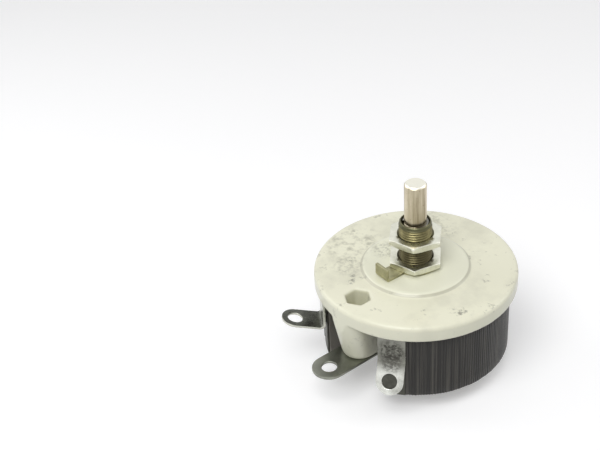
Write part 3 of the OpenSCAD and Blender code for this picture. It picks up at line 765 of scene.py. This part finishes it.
# Every turn is a round wire along the core's section
def makeWire(coilFrom, coilArc):
    w = winding
    off = w["seat"] + w["wireRadius"]
    path = roundedLoop(rectangle(w["coreIn"] - off, w["coreOut"] + off,
        w["coreBack"] - off, w["coreTop"] + off, w["wireRound"]), steps=4)
    away = loopNormals(path)
    sides = w["wireSides"]
    verts, faces = [], []
    for k in range(w["turns"]):
        a = rad(coilFrom + coilArc * (k + 0.5) / w["turns"])
        radial, along = np.array([math.cos(a), math.sin(a), 0]), np.array([-math.sin(a), math.cos(a), 0])
        start = len(verts)
        for p, n in zip(path, away):
            centre = radial * p[0] + np.array([0, 0, p[1]])
            normal = radial * n[0] + np.array([0, 0, n[1]])
            for j in range(sides):
                t = tau * j / sides
                verts.append(centre + w["wireRadius"] * (normal * math.cos(t) + along * math.sin(t)))
        faces += [[start + i for i in f] for f in gridFaces(len(path), sides, True)]
    wire = makeObject("resistanceWire", verts, faces)
    dress(wire, "wireAlloy", "housing", ["resistance_wire"], smoothing=False)


# The enamel follows the turns as ribs and ends unevenly at the bare track, and cement bonds it to the base
def makeEnamel(coilFrom, coilArc):
    w = winding
    skin, turns = w["enamel"], w["turns"]
    outer = w["coreOut"] + 2 * w["seat"] + w["sheet"] + skin
    inner = w["coreIn"] - 2 * w["seat"] - w["sheet"] - skin
    back, top = w["coreBack"] + skin, w["enamelTop"]
    corners = roundedLoop([(outer - skin, back, 0.04), (outer, back, 0.08), (outer, top, 0.15),
        (inner, top, 0.15), (inner, back, 0.08), (inner + skin, back, 0.04),
        (inner + skin, top - skin, 0), (outer - skin, top - skin, 0)], steps=2)
    # More rows up the walls, so that the ribs can waver
    section = []
    for p, q in zip(corners, np.roll(corners, -1, 0)):
        rows = w["ribRows"] if abs(q[1] - p[1]) > 5 else 1
        section += [p + (q - p) * j / rows for j in range(rows)]
    rng = random.Random(7)
    lumps = [rng.uniform(0.3, 1) for _ in range(turns + 2)]
    edges = [rng.uniform(-0.1, 0.16) for _ in range(turns + 2)]

    def ribs(a, s):
        place = (a / tau * 360 - coilFrom) / coilArc * turns
        k = int(min(max(place, 0), turns - 1))
        phase = place - k
        valley = 1 - abs(math.sin(math.pi * min(max(phase, 0), 1))) ** 0.6
        depth = w["rib"] * (0.75 + 0.25 * lumps[k]) * valley
        outside, inside = s[:, 0] > outer - 0.13, s[:, 0] < inner + 0.13
        s[outside, 0] -= depth
        s[inside, 0] += depth
        low = s[:, 1] < back + 0.3
        s[low, 1] += edges[k] * (1 - valley) + 0.1
        return s

    coat = swept("enamelCoat", section, angles=(coilFrom, coilFrom + coilArc),
        steps=turns * w["ribSteps"] + 1, shift=ribs)
    dress(coat, "blackEnamel", "housing", ["enamel_coat"], smoothing=False)

    lumpy = [rng.uniform(-0.12, 0.0) for _ in range(61)]

    def uneven(a, s):
        k = (a / tau + 0.5) * 60
        i = int(k) % 60
        s[s[:, 0] > outer - 1, 0] += lumpy[i] + (lumpy[(i + 1) % 60] - lumpy[i]) * (k - int(k))
        return s

    bond = swept("enamelBond", roundedLoop(rectangle(inner, outer, top + 0.02, w["bondTop"], 0.1)),
        angles=(-90 + w["gap"] / 2, 270 - w["gap"] / 2), steps=240, shift=uneven)
    dress(bond, "bondCement", "housing", ["enamel_bond"])


# End bands: closed loops of sheet
def makeBands():
    w = winding
    off, s = w["seat"] + w["sheet"], w["sheet"]
    x0, x1, y0, y1 = w["coreIn"] - off, w["coreOut"] + off, w["coreBack"] - off, w["coreTop"] + off
    outerLoop = roundedLoop(rectangle(x0, x1, y0, y1, w["bandRound"]), steps=5)
    innerLoop = roundedLoop(rectangle(x0 + s, x1 - s, y0 + s, y1 - s, w["bandInRound"]), steps=5)
    turns = np.linspace(rad(-90 + w["bandFrom"]), rad(-90 + w["bandFrom"] + w["bandArc"]), 14)
    rings = [atAngle(outerLoop, a) for a in turns] + [atAngle(innerLoop, a) for a in reversed(turns)]
    for name, node in (("rightEndBand", "right_end_band"), ("leftEndBand", "left_end_band")):
        band = gridObject(name, np.array(rings))
        if name == "leftEndBand":
            mirrored(band)
        dress(band, "bandPaintedShade", "housing", [node])


def makeRing():
    bandEnd = winding["bandFrom"] + winding["bandArc"]
    coil = -90 + bandEnd, 360 - 2 * bandEnd
    makeCore()
    makeWire(*coil)
    makeEnamel(*coil)
    makeBands()


makeRing()
print("wound ring made")


# Terminals: two lugs on the end bands and the centre terminal on the slip ring

lugs = dict(width=7.94, thick=0.8, edge=0.14, hole=2.2, outer=1.6, top=-9.2, face=26.99, angle=-57.25,
    right=dict(pad=7.6, tongue=9.6, bend=26), left=dict(pad=9.6, tongue=10.9, bend=104))


def endLug(name, side):
    l = lugs
    size = l[side]
    tip = l["width"] / 2
    middle = (l["outer"] - l["thick"] / 2) * rad(size["bend"])
    end = size["pad"] + middle + size["tongue"]
    outline = np.concatenate([
        roundedLoop([(end - tip, tip, 0), (0, tip, 0.4), (0, -tip, 0.4), (end - tip, -tip, 0)]),
        arc(tip, end - tip, 0, -90, 90, 40)[1:-1]])
    obj = plate(name, outline, [circle(l["hole"], end - tip, 0, 56)], 0, l["thick"], l["edge"])
    a = rad(l["angle"])
    radial, across = (math.cos(a), math.sin(a), 0), (-math.sin(a), math.cos(a), 0)
    origin = (radial[0] * l["face"], radial[1] * l["face"], l["top"])
    return bent(obj, size["pad"], size["bend"], l["outer"], l["thick"], origin, (0, 0, -1), across, radial)


def makeLugs():
    right = endLug("rightTerminal", "right")
    dress(right, "brightTin", "housing", ["right_terminal"])
    left = mirrored(endLug("leftTerminal", "left"))
    dress(left, "tinPaintedShadeLitSides", "housing", ["left_terminal"])


centre = dict(ringOut=12, ringIn=8, width=9.8, reach=38.3, hole=2.2, screw=1.47, screwReach=22, low=-23.3,
    high=-22.52, edge=0.14)


def makeCentre():
    c = centre
    half = c["width"] / 2
    tip = half - c["reach"]
    meet = math.degrees(math.asin(half / c["ringOut"]))
    outline = np.concatenate([arc(c["ringOut"], 0, 0, -90 + meet, 270 - meet, 90),
        [(-half, tip + 10)], arc(half, 0, tip, 180, 360, 48), [(half, tip + 10)]])
    holes = [circle(c["ringIn"], steps=72), circle(c["screw"], 0, -c["screwReach"], 32),
        circle(c["hole"], 0, tip, 56)]
    obj = plate("slipRingTerminal", outline, holes, c["low"], c["high"], c["edge"])
    dress(obj, "tinPaintedDarkReflection", "housing", ["slip_ring_terminal"])


makeLugs()
makeCentre()
print("terminals made")


# Foot screw with a slotted head behind the centre terminal, and its nut in the pocket

footFixing = dict(reach=22, radius=1.42, head=2.7, headHigh=1.9, seat=-23.3, end=0.8, slot=0.8, nutFloor=-12,
    nutThick=2.4, nutFlats=6.35, nutBore=1.47, nutSink=0.3, nutEdge=0.08, cornerDrop=0.2)


def makeFixing():
    f = footFixing
    top = f["nutFloor"] + f["nutThick"] + f["end"]
    low = f["seat"] - f["headHigh"]
    screw = turned("footScrew", roundedLoop([(0, low, 0), (f["head"], low, 0.7), (f["head"], f["seat"], 0.1),
        (f["radius"], f["seat"], 0), (f["radius"], top, 0.25), (0, top, 0)]), steps=64)
    half = f["slot"] / 2
    slot = [(-4, -half), (4, -half), (4, half), (-4, half)]  # longer than the head is wide
    cutAway(screw, prism("slot", slot, low - 1, low + f["headHigh"] / 2))
    moved(screw, y=-f["reach"])
    dress(screw, "zincPlate", "housing", ["foot_screw"], smoothing=False)
    nut = hexNut("footNut", f["nutFlats"], f["nutThick"], f["nutBore"], f["nutSink"], f["nutEdge"],
        f["cornerDrop"])
    moved(nut, y=-f["reach"], z=f["nutFloor"], turn=30)
    dress(nut, "zincPlate", "housing", ["foot_nut"])


makeFixing()
print("foot screw made")


# Rotor: ceramic hub with its stop, contact arm, brush, rivets, spring and ring contact

rotor = dict(armTop=-32.01, armBack=-32.81, hubTop=-29.51, neckBack=-33.41, washerBack=-33.86, washer=5.7,
    barrelTop=-20.5, hub=10.5, barrel=5.7, neck=6.3, bore=3.205, stopReach=13.2, stopThick=2.4, stopWidth=3,
    stopTop=-19.5, ringMid=24.25, brushLength=4.6, brushWidth=4.4, brushTop=-30.06, holderHigh=0.975,
    rivet=0.9, rivetHead=1.62, rivetReach=8.8, headHigh=0.5, tail=11.9, tailWidth=5, rootWidth=8, tipWidth=5.8,
    sheet=0.4, seat=0.02, springRadius=6.3, springWire=0.4, springTurns=3, springSides=12,
    carrierOut=11.6, carrierGap=0.2, carrierBack=-24.9, contactBack=-24.5, contactTop=-23.35, contactIn=8.4)


def rivetShape(name, x, y, low, high, upperHead):
    r = rotor
    body, head, rise = r["rivet"], r["rivetHead"], r["headHigh"]
    profile = [(0, low - rise, 0), (head, low - rise, 0.3), (head, low, 0.05), (body, low, 0)]
    if upperHead:
        profile += [(body, high, 0), (head, high, 0.05), (head, high + rise, 0.3), (0, high + rise, 0)]
    else:
        profile += [(body, high, 0.1), (0, high, 0)]
    return moved(turned(name, roundedLoop(profile, 3), steps=40), x=x, y=y)


# The hub, with a bar out to the stop that meets the base's web at either end of the turn
def makeHub():
    r = rotor
    hub = swept("hub", roundedLoop([(r["bore"], r["neckBack"], 0.1), (r["neck"], r["neckBack"], 0.25),
        (r["neck"], r["armTop"], 0.05), (r["hub"], r["armTop"], 0.15), (r["hub"], r["hubTop"], 0.35),
        (r["barrel"], r["hubTop"], 0.2), (r["barrel"], r["barrelTop"], 0.3),
        (r["bore"], r["barrelTop"], 0.2)], 4), steps=110)
    half = r["stopWidth"] / 2
    end = r["stopReach"] + r["stopThick"]
    bar = plate("bar", roundedLoop(rectangle(-half, half, r["hub"] - 1, end, 0.2, 0.2, 0.4, 0.4)), [],
        r["armTop"], r["hubTop"], 0.25)
    stop = plate("stop", roundedLoop(rectangle(-half, half, r["stopReach"], end, 0.3, 0.3, 0.4, 0.4)), [],
        r["armTop"], r["stopTop"], 0.25)
    dress(joined("driveHub", [hub, bar, stop]), "hubCeramic", "rotor", ["drive_hub"])


def makeArm():
    r = rotor
    tip = r["ringMid"] + r["brushLength"] / 2
    root = math.degrees(math.asin(r["rootWidth"] / 2 / r["hub"]))
    tail = math.degrees(math.asin(r["tailWidth"] / 2 / r["hub"]))
    rootX, rootY = r["rootWidth"] / 2 + 0.01, r["hub"] * math.cos(rad(root)) + 0.4
    tailX, tailY = r["tailWidth"] / 2, -r["hub"] * math.cos(rad(tail)) - 0.2
    tipX = r["tipWidth"] / 2
    outline = np.concatenate([
        roundedLoop([(rootX, rootY, 0), (tipX, tip, 0.8), (-tipX, tip, 0.8), (-rootX, rootY, 0)]),
        arc(r["hub"], 0, 0, 90 + root, 270 - tail, 40),
        roundedLoop([(-tailX, tailY, 0), (-tailX, -r["tail"], 0.4), (tailX, -r["tail"], 0.4), (tailX, tailY, 0)]),
        arc(r["hub"], 0, 0, -90 + tail, 90 - root, 40)])
    rivets = (-r["rivetReach"], 0), (r["rivetReach"], 0), (0, r["ringMid"])
    holes = [circle(r["neck"] + r["seat"], steps=72)]
    holes += [circle(r["rivet"] + r["seat"], x, y, 24) for x, y in rivets]
    arm = plate("contactArm", outline, holes, r["armBack"], r["armTop"], 0.12)
    dress(arm, "springSteel", "rotor", ["contact_arm"])


# The brush between the two walls of its holder, and the rivets that hold the arm
def makeBrush():
    r = rotor
    half = r["brushWidth"] / 2
    y0, y1 = r["ringMid"] - r["brushLength"] / 2, r["ringMid"] + r["brushLength"] / 2
    outline = roundedLoop(rectangle(-half, half, y0, y1, 0.3))
    brush = plate("contactBrush", outline, [], r["armTop"], r["brushTop"], 0.2)
    dress(brush, "graphite", "rotor", ["contact_brush"])
    walls = []
    for side in (-1, 1):
        a, b = half + r["seat"], half + r["seat"] + r["sheet"]
        outline = roundedLoop(rectangle(side * a, side * b, y0, y1, 0.05, 0.1, 0.1, 0.05))
        walls.append(plate("wall", outline, [], r["armTop"], r["armTop"] + r["holderHigh"], 0.06))
    dress(joined("brushHolder", walls), "springSteel", "rotor", ["brush_holder"])
    brushRivet = rivetShape("brushRivet", 0, r["ringMid"], r["armBack"], r["armTop"] + 0.95, False)
    dress(brushRivet, "rivetBrass", "rotor", ["brush_rivet"])
    pair = [rivetShape("rivet", side * r["rivetReach"], 0, r["armBack"], r["hubTop"], True)
        for side in (-1, 1)]
    dress(joined("hubRivets", pair), "rivetBrass", "rotor", ["hub_rivets"])


def makeSpring():
    r = rotor
    steps = 150
    off = r["seat"] + r["springWire"]
    z0, z1 = r["hubTop"] + off, r["carrierBack"] - off
    path = []
    for i in range(steps + 1):
        t = i / steps
        a = tau * r["springTurns"] * t
        path.append((r["springRadius"] * math.cos(a), r["springRadius"] * math.sin(a), z0 + (z1 - z0) * t))
    spring = tube("pressureSpring", path, r["springWire"], r["springSides"])
    dress(spring, "springSteel", "rotor", ["pressure_spring"])


# Carrier with its leg down to the arm, the ring contact on it and the washer behind the hub
def makeCarrier():
    r = rotor
    disc = plate("disc", circle(r["carrierOut"], steps=96), [circle(r["barrel"] + r["carrierGap"], steps=72)],
        r["carrierBack"], r["contactBack"], 0.08)
    half = r["tailWidth"] / 2
    legOut = r["carrierOut"] - r["carrierGap"]
    leg = plate("leg", roundedLoop(rectangle(-half, half, -legOut, -legOut + r["sheet"], 0.05)), [],
        r["armTop"], r["contactBack"] - r["seat"], 0.05)
    dress(joined("contactCarrier", [disc, leg]), "rivetBrass", "rotor", ["contact_carrier"])
    contact = swept("ringContact", roundedLoop(rectangle(r["contactIn"], r["carrierOut"],
        r["contactBack"] + r["seat"], r["contactTop"], 0.15, 0.15, 0.25, 0.25)), steps=96)
    dress(contact, "graphite", "rotor", ["ring_contact"])
    washer = swept("thrustWasher", roundedLoop(rectangle(r["bore"], r["washer"],
        r["washerBack"], r["neckBack"] - r["seat"], 0.08, 0.12, 0.12, 0.08)), steps=72)
    dress(washer, "nutNickel", "rotor", ["thrust_washer"])


makeHub()
makeArm()
makeBrush()
makeSpring()
makeCarrier()
print("rotor made")


# Floor, light and camera

stageLook = dict(floor=-35.0, size=3.0, floorColour=(0.80, 0.80, 0.81), roughness=0.7, glow=0.30, world=0.40)


def makeFloor():
    half = stageLook["size"] / 2
    mesh = bpy.data.meshes.new("floor")
    z = stageLook["floor"] * mm
    corners = [(-half, -half, z), (half, -half, z), (half, half, z), (-half, half, z)]
    mesh.from_pydata(corners, [], [(0, 1, 2, 3)])
    obj = bpy.data.objects.new("floor", mesh)
    scene.collection.objects.link(obj)
    material = bpy.data.materials.new("floor")
    n = Nodes(material, "Principled BSDF")
    n.shader.inputs["Base Color"].default_value = (*stageLook["floorColour"], 1)
    n.shader.inputs["Roughness"].default_value = stageLook["roughness"]
    n.shader.inputs["Emission Color"].default_value = (1, 1, 1, 1)
    n.link(n.math("MULTIPLY", n.seen(), stageLook["glow"]), n.shader.inputs["Emission Strength"])
    mesh.materials.append(material)


# The world is white where it is seen, and lights the object less strongly
def makeWorld():
    world = bpy.data.worlds.new("studio")
    scene.world = world
    n = Nodes(world, "Background")
    n.shader.inputs["Color"].default_value = (1, 1, 1, 1)
    n.link(n.ramp(n.seen(), 0, 1, stageLook["world"], 1.0), n.shader.inputs["Strength"])


# Each lamp: place in mm, size in mm, power in watts
lamps = dict(key=dict(at=(90, -200, 300), size=240, power=0.78),
    fill=dict(at=(-260, -140, 200), size=240, power=0.22),
    back=dict(at=(120, 260, 240), size=200, power=0.22))


def makeLamps():
    for name, lamp in lamps.items():
        data = bpy.data.lights.new(name, "AREA")
        data.shape = "DISK"
        data.size = lamp["size"] * mm
        data.energy = lamp["power"]
        obj = bpy.data.objects.new(name, data)
        obj.location = Vector(lamp["at"]) * mm
        aim = Vector((0, 0, -10 * mm)) - obj.location
        obj.rotation_euler = aim.to_track_quat("-Z", "Y").to_euler()
        scene.collection.objects.link(obj)


cameraLook = dict(lens=72.53, azimuth=53.0, elevation=33.81, roll=-3.674, at=(204.9, -194.9, 200.7))


def makeCamera():
    c = cameraLook
    data = bpy.data.cameras.new("camera")
    data.lens = c["lens"]
    data.sensor_width = 36
    data.clip_start = 0.01
    data.clip_end = 20
    obj = bpy.data.objects.new("camera", data)
    scene.collection.objects.link(obj)
    a, e, r = rad(c["azimuth"]), rad(c["elevation"]), rad(c["roll"])
    back = Vector((math.sin(a) * math.cos(e), -math.cos(a) * math.cos(e), math.sin(e)))
    right = Vector((math.cos(a), math.sin(a), 0))
    up = back.cross(right)
    right, up = right * math.cos(r) + up * math.sin(r), up * math.cos(r) - right * math.sin(r)
    facing = Matrix((right, up, back)).transposed().to_4x4()
    obj.matrix_world = Matrix.Translation(Vector(c["at"]) * mm) @ facing
    scene.camera = obj


makeFloor()
makeWorld()
makeLamps()
makeCamera()
scene.view_settings.view_transform = "Standard"
print("stage made")
